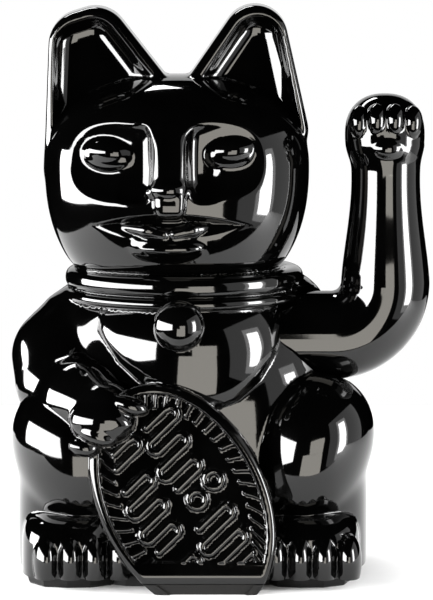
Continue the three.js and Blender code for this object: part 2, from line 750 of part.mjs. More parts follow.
/** The outer skin of the arm, or its hollow when an inset is given, as rows of rings. */
function armBody(inset, around, along) {
  const rings = [];
  const endX = ARM.inside - (inset ? 1 : 0);
  rings.push({ at: [endX, 0], lean: 0, radius: 0 });
  rings.push({ at: [endX, 0], lean: 0, radius: ARM.tubeRadius - inset });
  const bends = Math.round(along / 3);
  for (let i = 0; i <= bends; i++) {
    const angle = (Math.PI / 2) * (i / bends);
    rings.push({
      at: [elbowX + ARM.bend * Math.sin(angle), ARM.bend * (1 - Math.cos(angle))],
      lean: angle,
      radius: ARM.tubeRadius - inset,
    });
  }
  const climbs = along - bends;
  for (let i = 1; i <= climbs; i++) {
    const { x: height, y: radius } = swell.getPoint(i / climbs);
    const top = Math.min(height, rise - inset);
    rings.push({
      at: [ARM.reach, ARM.bend + top],
      lean: Math.PI / 2,
      radius: i === climbs ? 0 : Math.max(radius - inset, 0.4),
    });
  }
  const last = rings.length - 1;
  const geometry = new ParametricGeometry(
    (u, v, target) => {
      const { at, lean, radius } = rings[Math.round(v * last)];
      const angle = 2 * Math.PI * u;
      const across = radius * Math.cos(angle);
      target.set(
        at[0] - across * Math.sin(lean),
        ARM.y + radius * Math.sin(angle),
        PIVOT_Z + at[1] + across * Math.cos(lean),
      );
    },
    around,
    last,
  );
  return solid(geometry);
}

/** Four fingertips and the pad below them, on the front of the paw. */
function pawDetail() {
  const pawZ = PIVOT_Z + ARM.forearm - 9;
  const fingers = [-1.5, -0.5, 0.5, 1.5].map((n) =>
    mass({
      at: [ARM.reach + n * 4.3, ARM.y - ARM.pawRadius + 1.5 + Math.abs(n) * 0.9, pawZ],
      size: [2.5, 2.6, 4.6],
      fineness: 0.34,
    }),
  );
  const pad = mass({
    at: [ARM.reach, ARM.y - ARM.pawRadius + 2.4, pawZ - 8.5],
    size: [5, 2.4, 3.6],
    fineness: 0.34,
  });
  return join(...fingers, pad);
}

function armHalves() {
  const outer = join(armBody(0, 22, 26), pawDetail());
  const shell = cut(outer, armBody(ARM.wall, 14, 18));
  const front = block([0, -below, 0], [below, ARM.y - GAP / 2, below]);
  const back = block([0, ARM.y + GAP / 2, 0], [below, below, below]);
  return [shell.intersect(front), shell.intersect(back)];
}
const [armFront, armBack] = armHalves();
piece("arm_front_shell", armFront, glossBlack);
piece("arm_back_shell", armBack, glossBlack);

const plug = { thickness: 2, hub: 3.4, hubLength: 9, radius: ARM.tubeRadius - ARM.wall - GAP * 2 };
const pinEnd = ARM.inside + plug.hubLength - 1;

function armPlug() {
  const disc = bar("x", plug.radius, [ARM.inside + GAP, ARM.y, PIVOT_Z], plug.thickness, 24);
  const hub = bar("x", plug.hub, [ARM.inside + GAP, ARM.y, PIVOT_Z], plug.hubLength, 18);
  const bore = bar("x", PIN.diameter / 2 + GAP, [ARM.inside - 1, ARM.y, PIVOT_Z], plug.hubLength + 1, 12);
  return cut(join(disc, hub), bore);
}
piece("arm_plug", armPlug(), nylon);

const pinStart = uprightInner - 1.6;
piece(
  "pivot_pin",
  bar("x", PIN.diameter / 2, [pinStart, ARM.y, PIVOT_Z], pinEnd - pinStart, 14),
  steel,
);

const magnetFloor = Math.max(coilTop + LEVER.airGap, bay.top + BAY.wall + BAY.underMagnet);
const magnetTop = magnetFloor + MAGNET.height;

function pendulumLever() {
  const hub = bar("x", LEVER.hubRadius, [LEVER.x - LEVER.hubLength / 2, ARM.y, PIVOT_Z], LEVER.hubLength, 20);
  const halfWidth = LEVER.barWidth / 2;
  const halfThick = LEVER.barThickness / 2;
  const stem = block(
    [LEVER.x - halfThick, ARM.y - halfWidth, magnetTop + GAP + 0.4],
    [LEVER.x + halfThick, ARM.y + halfWidth, PIVOT_Z],
  );
  const cupRadius = MAGNET.diameter / 2 + GAP + MAGNET.cupWall;
  const cup = bar("z", cupRadius, [LEVER.x, ARM.y, magnetFloor + 1], MAGNET.height - 1 + GAP + 1.4, 28);
  const pocket = bar("z", MAGNET.diameter / 2 + GAP, [LEVER.x, ARM.y, magnetFloor - 1], MAGNET.height + 1 + GAP, 28);
  const bore = bar(
    "x",
    PIN.diameter / 2 + GAP,
    [LEVER.x - LEVER.hubLength, ARM.y, PIVOT_Z],
    2 * LEVER.hubLength,
    12,
  );
  return cut(join(hub, stem, cup), pocket, bore);
}
piece("pendulum_lever", pendulumLever(), nylon);
piece("magnet", bar("z", MAGNET.diameter / 2, [LEVER.x, ARM.y, magnetFloor], MAGNET.height, 28), magnetCoat);

export default group;
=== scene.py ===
"""A seated beckoning cat in high-gloss black plastic, with a bell, a coin and one swinging arm.

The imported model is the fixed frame. The cat's skin is sculpted here as smooth solid forms and
laid over the moulded shells; the mechanism's own pieces keep their shape and get their finishes.
"""

import json
import math
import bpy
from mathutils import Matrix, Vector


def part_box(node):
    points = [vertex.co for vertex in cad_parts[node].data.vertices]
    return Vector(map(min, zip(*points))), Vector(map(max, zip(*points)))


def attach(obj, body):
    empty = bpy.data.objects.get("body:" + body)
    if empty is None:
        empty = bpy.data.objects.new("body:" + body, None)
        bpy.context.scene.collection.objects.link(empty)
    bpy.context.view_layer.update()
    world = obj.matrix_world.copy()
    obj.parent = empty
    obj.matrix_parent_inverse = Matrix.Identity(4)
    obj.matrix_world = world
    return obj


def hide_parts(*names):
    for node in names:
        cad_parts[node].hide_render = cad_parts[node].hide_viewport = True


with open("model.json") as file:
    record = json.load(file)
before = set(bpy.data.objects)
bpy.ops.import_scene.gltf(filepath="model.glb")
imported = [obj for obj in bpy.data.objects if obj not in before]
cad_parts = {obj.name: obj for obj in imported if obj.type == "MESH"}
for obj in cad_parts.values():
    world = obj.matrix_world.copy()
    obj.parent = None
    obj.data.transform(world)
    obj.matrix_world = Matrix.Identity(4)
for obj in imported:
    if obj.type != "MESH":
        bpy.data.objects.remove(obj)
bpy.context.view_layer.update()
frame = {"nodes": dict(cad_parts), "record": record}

from concurrent.futures import ThreadPoolExecutor

import bmesh
import bpy
import numpy as np
from bpy.props import FloatProperty, PointerProperty
from mathutils import Matrix, Vector

bl_info = {
    "name": "Beckoning Cat",
    "version": (1, 0, 0),
    "blender": (4, 5, 0),
    "location": "View3D > Sidebar > Cat",
    "description": "Sculpts a glossy beckoning cat with a swinging arm round its mechanism",
    "category": "Add Mesh",
}

MM = 0.001

# ------------------------------------------------------------------ where the model puts things


def box_mm(node):
    """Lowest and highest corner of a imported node, in millimetres."""
    low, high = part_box(node)
    return np.array(low) / MM, np.array(high) / MM


PIN_LOW, PIN_HIGH = box_mm("pivot_pin")
FRONT_LOW, FRONT_HIGH = box_mm("front_shell")
BACK_LOW, BACK_HIGH = box_mm("back_shell")
ARM_LOW, ARM_HIGH = box_mm("arm_front_shell")
ARM_BACK_LOW, _ = box_mm("arm_back_shell")
PIVOT_Y = (PIN_LOW[1] + PIN_HIGH[1]) / 2
PIVOT_Z = (PIN_LOW[2] + PIN_HIGH[2]) / 2
SEAM_FRONT = FRONT_HIGH[1]
SEAM_BACK = BACK_LOW[1]
FLOOR_OF_SHELLS = FRONT_LOW[2]

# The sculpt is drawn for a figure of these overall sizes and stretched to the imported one.
DRAWN_LOW = np.array([-49.0, -41.9, 2.9])
DRAWN_HIGH = np.array([50.2, 35.5, 150.5])


def stretched(points):
    """Points drawn in the sculpt's own millimetres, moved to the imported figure."""
    low = np.minimum(FRONT_LOW, BACK_LOW)
    high = np.maximum(FRONT_HIGH, BACK_HIGH)
    return low + (points - DRAWN_LOW) * (high - low) / (DRAWN_HIGH - DRAWN_LOW)


# The frame stands in one part of the room inside, and the magnet swings through the other.
FRAME_LOW, FRAME_HIGH = box_mm("pendulum_frame")
LEVER_LOW, LEVER_HIGH = box_mm("pendulum_lever")
UNDER = FLOOR_OF_SHELLS - 5
BEHIND = SEAM_BACK + 12
FRONT_OF_FRAME = FRAME_LOW[1]
LEVER_SIDES = (LEVER_LOW[0] - 1.2, LEVER_HIGH[0] + 0.2)
ROOMS = (
    ((FRAME_LOW[0] - 1.6, FRONT_OF_FRAME - 1.2, UNDER), (FRAME_HIGH[0] + 1.6, BEHIND, 27)),
    ((LEVER_SIDES[0], FRONT_OF_FRAME - 5.6, UNDER), (LEVER_SIDES[1], BEHIND, 29.6)),
    ((LEVER_SIDES[0], FRONT_OF_FRAME - 2.6, UNDER), (LEVER_SIDES[1], BEHIND, 33.5)),
)

# ------------------------------------------------------------------ solid forms as distances
# A form is a function that gives each point's distance to its skin, below zero inside it.


def turning(degrees):
    """The matrix that turns about X, then Y, then Z."""
    x, y, z = np.radians(degrees)
    about_x = np.array([[1, 0, 0], [0, math.cos(x), -math.sin(x)], [0, math.sin(x), math.cos(x)]])
    about_y = np.array([[math.cos(y), 0, math.sin(y)], [0, 1, 0], [-math.sin(y), 0, math.cos(y)]])
    about_z = np.array([[math.cos(z), -math.sin(z), 0], [math.sin(z), math.cos(z), 0], [0, 0, 1]])
    return about_z @ about_y @ about_x


def ball(at, size, turn=(0, 0, 0), down=None, squareness=2.0):
    """A rounded mass; squareness above 2 fills its corners, and down is its reach below."""
    at, size, matrix = np.array(at, float), np.array(size, float), turning(turn)
    low = size.copy()
    if down is not None:
        low[2] = down

    def distance(points):
        local = (points - at) @ matrix
        reach = size if down is None else np.where(local[:, 2:3] < 0, low, size)
        share = np.abs(local) / reach + 1e-9
        if squareness == 2.0:
            level = np.sqrt((share * share).sum(1))
            slope = np.sqrt(((share / reach) ** 2).sum(1)) / level
        else:
            level = (share**squareness).sum(1) ** (1 / squareness)
            steep = share ** (squareness - 1) / reach * level[:, None] ** (1 - squareness)
            slope = np.sqrt((steep * steep).sum(1))
        return (level - 1) / slope

    return distance


def taper(start, end, radius, end_radius):
    """A round bar between two points whose radius changes."""
    start, end = np.array(start, float), np.array(end, float)
    along = end - start
    length = along @ along

    def distance(points):
        local = points - start
        share = np.clip(local @ along / length, 0, 1)
        away = np.sqrt(((local - share[:, None] * along) ** 2).sum(1))
        return away - radius - share * (end_radius - radius)

    return distance


def soft_min(a, b, width):
    overlap = np.maximum(width - np.abs(a - b), 0) / width
    return np.minimum(a, b) - overlap**3 * width / 6


def joined(width, *forms):
    """Forms run together with a fillet of about that width."""

    def distance(points):
        total = forms[0](points)
        for form in forms[1:]:
            total = soft_min(total, form(points), width)
        return total

    return distance


def carved(width, form, *cutters):
    """A form with others cut out of it, the edges eased by about that width."""

    def distance(points):
        total = form(points)
        for cutter in cutters:
            total = -soft_min(-total, cutter(points), width)
        return total

    return distance


def only_near(low, high, detailed, plain):
    """The detailed form inside a box, and the plain one that it meets everywhere else."""
    low, high = np.array(low), np.array(high)

    def distance(points):
        total = plain(points)
        close = ((points > low) & (points < high)).all(1)
        if close.any():
            total[close] = detailed(points[close])
        return total

    return distance


def limb(joints, width):
    """A chain of tapering bars through (x, y, z, radius) joints."""
    return joined(width, *[taper(a[:3], b[:3], a[3], b[3]) for a, b in zip(joints, joints[1:])])


def outline_distance(across, up, corners):
    """Distance to a closed outline of straight sides, below zero inside it."""
    corners = np.array(corners, float)
    nearest = np.full(len(across), 1e9)
    inside = np.zeros(len(across), bool)
    for a, b in zip(corners, np.roll(corners, -1, 0)):
        side = b - a
        x, y = across - a[0], up - a[1]
        share = np.clip((x * side[0] + y * side[1]) / (side @ side), 0, 1)
        nearest = np.minimum(nearest, (x - share * side[0]) ** 2 + (y - share * side[1]) ** 2)
        crosses = (a[1] > up) != (b[1] > up)
        if side[1]:
            inside ^= crosses & (x < side[0] * y / side[1])
    return np.where(inside, -1, 1) * np.sqrt(nearest)


def plate(corners, radius, front, back, edge, lean=0.0):
    """An upright plate: an outline in X and Z grown by a radius, with rounded edges."""

    def distance(points):
        flat = outline_distance(points[:, 0], points[:, 2], corners) - radius + edge
        level = points[:, 1] - lean * (points[:, 2] - 130)
        deep = np.abs(level - (front + back) / 2) - (back - front) / 2 + edge
        outer = np.sqrt(np.maximum(flat, 0) ** 2 + np.maximum(deep, 0) ** 2)
        return np.minimum(np.maximum(flat, deep), 0) + outer - edge

    return distance


def hoop(centre, across, deep, thick, high, squareness=2.6, dip=0.0):
    """An oval ring round the neck, with a rounded section; dip lowers its front."""

    def distance(points):
        x, y = (points[:, 0] - centre[0]) / across, (points[:, 1] - centre[1]) / deep
        level = np.sqrt(x * x + y * y) + 1e-9
        slope = np.sqrt((x / across) ** 2 + (y / deep) ** 2) / level
        out = np.abs((level - 1) / slope) / thick
        up = np.abs(points[:, 2] - centre[2] - dip * y) / high
        section = (out**squareness + up**squareness) ** (1 / squareness)
        return (section - 1) * min(thick, high)

    return distance


def half_space(axis, level, side):
    """Everything on one side of a level along an axis; side is +1 to keep what is below it."""
    return lambda points: side * (points[:, axis] - level)


# ------------------------------------------------------------------ the cat's own forms

HEAD = np.array([-3.4, -1.5, 108.0])
NOSE_X = -5.3


def ears():
    """Two rounded ears with dished fronts, each drawn as it leans."""
    left = [(-28.1, 140.3), (-24.9, 141.3), (-9.0, 121.0), (-16, 108), (-29.4, 108)]
    right = [(17.2, 142.2), (22.6, 118.0), (20, 106), (8, 106), (2.6, 121.0)]
    made = []
    for corners, radius, lean in ((left, 9.0, 1), (right, 8.6, -1)):
        outside = plate(corners, radius, -9.0, 4.5, 2.3)
        moved = [(x - lean * 0.7, z - 0.8) for x, z in corners]
        inside = plate(moved, radius - 2.2, -17, -4.4, 5.8, lean=0.16)
        made.append(carved(2.4, outside, inside))
    return made


def socket(side, at, size, turn, squareness):
    """A wide shallow hollow for one eye, deeper beside the nose."""
    wide = ball(at, size, turn=turn, squareness=squareness)
    inner = ball((NOSE_X + side * 9.4, -34.6, 111.6), (5.2, 9.6, 10.8), squareness=3.6 - side * 0.6)
    return joined(2.05 + side * 0.45, wide, inner)


def eye(side, x, y, z, turn):
    """An almond eye that looks a little down between its lids."""
    lids = ball((x, y, z), (7.6, 4.6, 5.0), turn=(0, -side * 4, turn))
    white = ball((x, y + 0.2, z + 1.0), (6.5, 5.7, 3.9), turn=(0, -side * 4, turn))
    return joined(0.5, lids, white)


def smile_hollow(points):
    """The lens-shaped step round the mouth: a slope that faces up, under the cheeks' edge."""
    x, y, z = (points - HEAD).T
    out = np.sqrt((x / 34.9) ** 2 + (y / 29.6) ** 2) * 29.6
    around = 30 * np.arctan2(x + HEAD[0] - NOSE_X, np.maximum(-y, 1e-3))
    share = np.minimum((around / 18.0) ** 2, 1.6)
    up = z + HEAD[2]
    low, high = 88.0 + 6.8 * share, 97.4 - 2.8 * share
    slope = (28.5 + 0.4 * share - (up - low) * 0.31 - out) * 0.955
    roof = (up - high) * 0.86 - (out - 28) * 0.5
    return np.maximum(slope, roof)


def mouth():
    """Two upper lobes over a full lower lip on a small mound."""
    n = NOSE_X
    mound = ball((n, -22.6, 90.0), (12.6, 7.6, 5.2), squareness=2.2)
    upper = [
        limb(
            [
                (n + s * 11.4, -26.0, 94.4, 1.1),
                (n + s * 6.0, -28.7, 93.9, 1.7),
                (n + s * 1.4, -29.5, 92.9, 1.2),
            ],
            1,
        )
        for s in (-1, 1)
    ]
    lower = ball((n + 0.3, -28.0, 89.0), (8.0, 3.2, 2.0))
    return joined(0.8, joined(1.4, mound, *upper), lower)


def face(head):
    """Sockets, eyes, nose, muzzle and mouth, set on the front of the head."""
    n = NOSE_X
    left = socket(-1, (-26.4, -37.0, 113.6), (19.2, 15.0, 13.9), (-7, 4, -17), 2.7)
    right = socket(1, (11.8, -39.2, 113.9), (14.0, 14, 12.6), (-7, 0, 6), 3.2)
    hollow = carved(0.7, carved(1.4, head, left, right), smile_hollow)
    bridge = ball((n + 0.2, -24.2, 108.5), (4.3, 7.8, 13.0), turn=(-12, 0, 0), squareness=5.0)
    tip = ball((n - 0.1, -30.2, 104.6), (4.9, 4.2, 3.0))
    wings = [ball((n + s * 4.6, -28.6, 103.6), (1.8, 2.6, 1.6)) for s in (-1, 1)]
    under = [ball((n + s * 2.2, -28.9, 99.8), (2.1, 2.2, 1.5)) for s in (-1, 1)]
    whole = joined(0.8, hollow, mouth())
    whole = joined(1.0, whole, bridge)
    whole = joined(1.3, whole, tip, *wings)
    whole = joined(1.1, whole, *under)
    return joined(1.0, whole, eye(-1, -20.6, -21.1, 112.8, -14), eye(1, 10.9, -22.5, 113.3, 7))


def cat_head():
    skull = ball(HEAD, (34.9, 29.6, 24.3), down=38, squareness=2.3)
    skull = carved(5.0, skull, half_space(2, 80.4, 1))
    left_ear, right_ear = ears()
    front = only_near((-40, -48, 80), (36, -12, 127), face(skull), skull)
    return joined(1.4, front, left_ear, right_ear)


def cat_trunk():
    belly = ball((0.5, 3, 30.4), (39.3, 30.5, 46.0), down=72, squareness=2.6)
    neck = ball((-1.5, 0, 68.5), (29.0, 24.5, 12))
    right_shoulder = ball((20.5, 3, 63.5), (17.3, 17, 17.3), squareness=2.2)
    left_shoulder = ball((-24, 2, 62.5), (15.5, 17, 15.5), squareness=2.2)
    return joined(6.0, belly, neck, right_shoulder, left_shoulder)


def cat_legs():
    """Raised knees over haunches that run straight down to the floor."""
    left = ball((-29.8, -7, 34.2), (17.0, 26, 18.8), down=24, turn=(-11, -14, 0), squareness=2.2)
    right = ball((31.4, -7, 35.0), (16.8, 26, 19.3), down=25, turn=(-11, 17, 0), squareness=2.2)
    haunches = [
        ball((x, 3, 18), (16.4, 27, 20), down=40, squareness=3.0) for x in (-29.4, 30.8)
    ]
    return joined(3.0, left, haunches[0]), joined(3.0, right, haunches[1])


def cat_feet():
    """Block-like feet with four toes each, parted by pointed clefts."""
    made = []
    for x, first in ((-31.0, -37.4), (31.6, 22.5)):
        foot = ball((x, -12.5, 8.6), (13.2, 21.0, 10.8), down=16, squareness=3.6)
        toes = [
            ball((first + n * 6.3, -30.6 + abs(n - 1.5) * 0.5, 7.6), (3.6, 6.4, 6.9), down=9)
            for n in range(4)
        ]
        made.append(joined(0.7, foot, *toes))
    return made


def coin_arm():
    """The resting arm, from the shoulder over the elbow to the paw on the coin's edge."""
    upper = limb([(-28.5, 0, 62.5, 13.6), (-33.8, -3, 57.6, 12.8), (-33.8, -8, 51.0, 11.6)], 4)
    fore = limb([(-33.8, -8, 51.0, 11.6), (-28.5, -21, 48.4, 9.8), (-22.0, -31.0, 46.8, 7.8)], 4)
    arm = joined(4, upper, fore)
    fingers = [
        ball((-23.8 + n * 4.2, -37.0 + n * 0.6, 41.2 + n * 3.9), (5.0, 3.4, 2.5), turn=(0, 18, 0))
        for n in range(3)
    ]
    fingers.append(ball((-27.4, -35.2, 38.0), (4.0, 3.4, 2.6), turn=(0, 10, 0)))
    paw = joined(1.2, ball((-22.6, -33.5, 44.6), (8.6, 7.0, 6.6)), *fingers)
    fur = [
        taper(
            (-31.5 + n * 4.2, -23.4 - n * 2.4, 62.2 - n * 1.2),
            (-27.4 + n * 4.0, -28.4 - n * 1.6, 56.4),
            0.6,
            0.4,
        )
        for n in range(3)
    ]
    return carved(0.9, joined(1.2, arm, paw), *fur)


BIB_OUTLINE = [(24.2, 84), (23.4, 70), (21.6, 62), (17.8, 54.6), (12.0, 49.6), (6.0, 47.6), (0, 47.6)]
BIB_OUTLINE += [(-9.0, 52.4), (-17.5, 59.6), (-23.0, 67), (-26, 84)]


def bib():
    bulge = ball((-0.6, -9.5, 60.5), (27.6, 22.0, 22.5), down=30)

    def distance(points):
        edge = outline_distance(points[:, 0], points[:, 2], BIB_OUTLINE) - 1.6
        return -soft_min(-bulge(points), -edge, 4.5)

    return distance


COIN_AT = np.array([-1.8, -37.4, 24.5])
COIN_MATRIX = turning((-8.5, 0, 0)) @ turning((0, -27.3, 0))
COIN_HALF = np.array([21.7, 32.0])
SILL_TOP = 8.4


def coin_local(points):
    """Across, into and along the coin, from its middle on the front face."""
    return (points - COIN_AT) @ COIN_MATRIX


def rounded(flat, deep, edge):
    """Two distances met in a rounded edge."""
    outer = np.sqrt(np.maximum(flat + edge, 0) ** 2 + np.maximum(deep + edge, 0) ** 2)
    return np.minimum(np.maximum(flat, deep) + edge, 0) + outer - edge


def coin():
    """A thick oval tablet with a raised rim, border ticks and winding strokes in a sunk field."""

    def distance(points):
        local = coin_local(points)
        across, into, along = local[:, 0], local[:, 1], local[:, 2]
        x, z = across / COIN_HALF[0], along / COIN_HALF[1]
        level = np.sqrt(x * x + z * z) + 1e-9
        oval = (level - 1) / (np.sqrt((x / COIN_HALF[0]) ** 2 + (z / COIN_HALF[1]) ** 2) / level)
        above = SILL_TOP - points[:, 2]
        into = into - (along + 28) * 0.02
        total = rounded(oval, np.abs(local[:, 1] - 8.0) - 8.0, 1.5)
        undercut = (41.6 + points[:, 1]) * -0.97 - (points[:, 2] - SILL_TOP) * 0.25
        total = -soft_min(-total, -undercut, 0.8)
        total = -soft_min(-total, np.maximum(np.maximum(oval + 2.6, into - 1.2), above), 0.9)
        near = np.abs(total) < 2.5
        across, along, into, oval = across[near], along[near], into[near], oval[near]
        raised = np.minimum(coin_ticks(across, along, oval, into), coin_strokes(across, along, into))
        total[near] = soft_min(total[near], np.maximum(raised, above[near]), 0.45)
        return total

    return distance


def coin_ticks(across, along, oval, into):
    """Short bars that stand slantwise round the border like milling."""
    angle = np.arctan2(along / COIN_HALF[1], across / COIN_HALF[0])
    reach = np.sqrt((COIN_HALF[0] * np.sin(angle)) ** 2 + (COIN_HALF[1] * np.cos(angle)) ** 2)
    beat = (angle + 0.018 * (oval + 4.6)) * 44 / (2 * math.pi)
    sideways = np.abs(beat - np.round(beat)) * 2 * math.pi / 44 * reach
    return rounded(np.maximum(sideways - 0.72, np.abs(oval + 4.4) - 2.1), np.abs(into - 1.3) - 1.25, 0.65)


def coin_strokes(across, along, into):
    """Winding strokes, standing in the coin's field."""
    nearest = np.full(len(across), 1e9)
    for stroke in STROKES:
        for (ax, az), (bx, bz) in zip(stroke, stroke[1:]):
            dx, dz = bx - ax, bz - az
            share = np.clip(((across - ax) * dx + (along - az) * dz) / (dx * dx + dz * dz), 0, 1)
            nearest = np.minimum(nearest, (across - ax - share * dx) ** 2 + (along - az - share * dz) ** 2)
    return rounded(np.sqrt(nearest) - 1.0, np.abs(into - 1.3) - 1.5, 0.9)


def winding(x, z, turns, pitch, half, lean):
    """One line that runs to and fro, turning back round a half circle after each stroke."""
    points = []
    for n in range(turns):
        way = 1 if n % 2 == 0 else -1
        level, reach = z - n * pitch, half[n % len(half)] - pitch / 2
        rise = way * lean * reach
        points += [(x - way * reach, level - rise), (x + way * reach, level + rise)]
        if n < turns - 1:
            reach = half[(n + 1) % len(half)] - pitch / 2
            end = np.array((x + way * reach, level - pitch / 2 + way * lean * reach))
            for a in np.radians((60, 30, 0, -30, -60)):
                points.append(tuple(end + (way * math.cos(a) * pitch / 2, math.sin(a) * pitch / 2)))
    return points


def ring(x, z, radius):
    return [(x + radius * math.cos(a), z + radius * math.sin(a)) for a in np.linspace(0, 2 * math.pi, 13)]


STROKES = [
    winding(-8.2, 19.4, 2, 3.6, (4.0, 5.2), 0.3),
    winding(-8.8, 9.6, 6, 3.6, (5.2, 4.6), 0.3),
    winding(3.4, 22.0, 6, 3.6, (5.0, 5.8, 5.0), 0.3),
    winding(5.0, -7.2, 5, 3.6, (6.4, 5.4), 0.3),
    winding(-7.4, -14.6, 3, 3.6, (5.2, 4.2), 0.3),
    ring(3.4, -1.6, 2.2),
    ring(9.6, 1.0, 2.2),
]


def collar():
    main = hoop((-1.5, -0.8, 78.6), 28.2, 25.4, 3.3, 2.9, squareness=2.4)
    roll = hoop((-1.5, -0.8, 74.2), 28.4, 25.8, 3.0, 1.9, squareness=2.2)
    return joined(0.4, main, roll)


def bell():
    return ball((-2.7, -33.2, 69.3), (6.8, 6.8, 6.8))


def tail():
    """A tail curled up the back in low relief."""
    curl = [
        (2, 31.0, 5.5, 3.9),
        (12, 31.4, 8.5, 3.9),
        (16.5, 31.2, 16, 3.8),
        (12.5, 31.6, 23.5, 3.6),
        (5.5, 32.0, 26, 3.4),
    ]
    return limb(curl, 2)


def figure():
    """The whole cat without its swinging arm, as one skin."""
    trunk = joined(1.0, cat_trunk(), bib())
    whole = joined(1.2, trunk, *cat_legs())
    whole = joined(0.9, whole, *cat_feet())
    whole = joined(1.0, whole, tail())
    nowhere = lambda points: np.full(len(points), 9.0)
    whole = joined(0.7, whole, only_near((-42, -46, 0), (36, -16, 62), coin(), nowhere))
    whole = joined(0.8, whole, coin_arm())
    whole = joined(1.0, whole, collar())
    whole = joined(0.5, whole, bell())
    return joined(1.0, whole, cat_head())


WALL = 2.4
THINNEST = 1.0  # the wall left where the room comes close to the skin


def inside():
    """The room inside the two shells, with clearance for the swinging lever and its frame."""
    skull = ball(HEAD, (31.0, 18.5, 20.5), down=34, squareness=2.3)
    belly = ball((0.5, 3, 30.4), (39.3 - WALL, 30.5 - WALL, 46.0 - WALL), down=80, squareness=2.6)
    neck = ball((-1.5, 0, 72.0), (22.0, 16.5, 16))
    room = joined(5.0, belly, neck, skull)
    boxes = [((np.array(low) + high) / 2, (np.array(high) - low) / 2) for low, high in ROOMS]
    skin_outside = figure()

    def distance(points):
        straight = [(np.abs(points - middle) - half).max(1) for middle, half in boxes]
        return np.maximum(np.minimum.reduce([room(points), *straight]), skin_outside(points) + THINNEST)

    return distance


def shell_walls():
    """Everything outside the room inside."""
    room = inside()
    return lambda points: -room(points)


# ------------------------------------------------------------------ turning forms into meshes


def in_parallel(form, points):
    """A form's distances at many points, worked out on every core."""
    pieces = np.array_split(points, max(1, len(points) // 60000))
    with ThreadPoolExecutor(4) as crew:
        return np.concatenate(list(crew.map(form, pieces)))


def slopes(form, points, step=0.02):
    """The direction in which each point's distance grows."""
    total = np.zeros_like(points)
    for corner in ((1, 1, 1), (1, -1, -1), (-1, 1, -1), (-1, -1, 1)):
        way = np.array(corner, float)
        total += in_parallel(form, points + way * step)[:, None] * way
    return total / (4 * step)


CORNERS = [(i, j, k) for i in (0, 1) for j in (0, 1) for k in (0, 1)]
EDGES = [
    (a, b)
    for a in range(8)
    for b in range(a + 1, 8)
    if sum(p != q for p, q in zip(CORNERS[a], CORNERS[b])) == 1
]


def lines(spans):
    """Grid lines from [(start, end, spacing), ...], each span meeting the next."""
    made = [np.array([spans[0][0]])]
    for start, end, spacing in spans:
        count = max(1, round((end - start) / spacing))
        made.append(np.linspace(start, end, count + 1)[1:])
    return np.concatenate(made)


def near_skin(forms, grid):
    """Marks the grid points close to the skin, and says which side the others are on."""
    shape = tuple(len(g) for g in grid)
    block = 6
    starts = [np.arange(0, n - 1, block) for n in shape]
    ends = [np.minimum(s + block, n - 1) for s, n in zip(starts, shape)]
    middles = [(g[s] + g[e]) / 2 for g, s, e in zip(grid, starts, ends)]
    halves = [(g[e] - g[s]) / 2 for g, s, e in zip(grid, starts, ends)]
    centre = np.stack(np.meshgrid(*middles, indexing="ij"), -1).reshape(-1, 3)
    reach = np.sqrt(sum(h * h for h in np.meshgrid(*halves, indexing="ij"))).reshape(-1)
    level = np.max([in_parallel(form, centre) for form in forms], 0)
    close = np.abs(level) < reach * 1.5 + 0.6
    marked = np.zeros(shape, bool)
    inside = np.zeros(shape, bool)
    counts = tuple(len(s) for s in starts)
    for index in np.ndindex(*counts):
        flat = np.ravel_multi_index(index, counts)
        if not close[flat] and level[flat] >= 0:
            continue
        part = tuple(slice(starts[a][i], ends[a][i] + 1) for a, i in enumerate(index))
        if close[flat]:
            marked[part] = True
        else:
            inside[part] = True
    return marked, inside


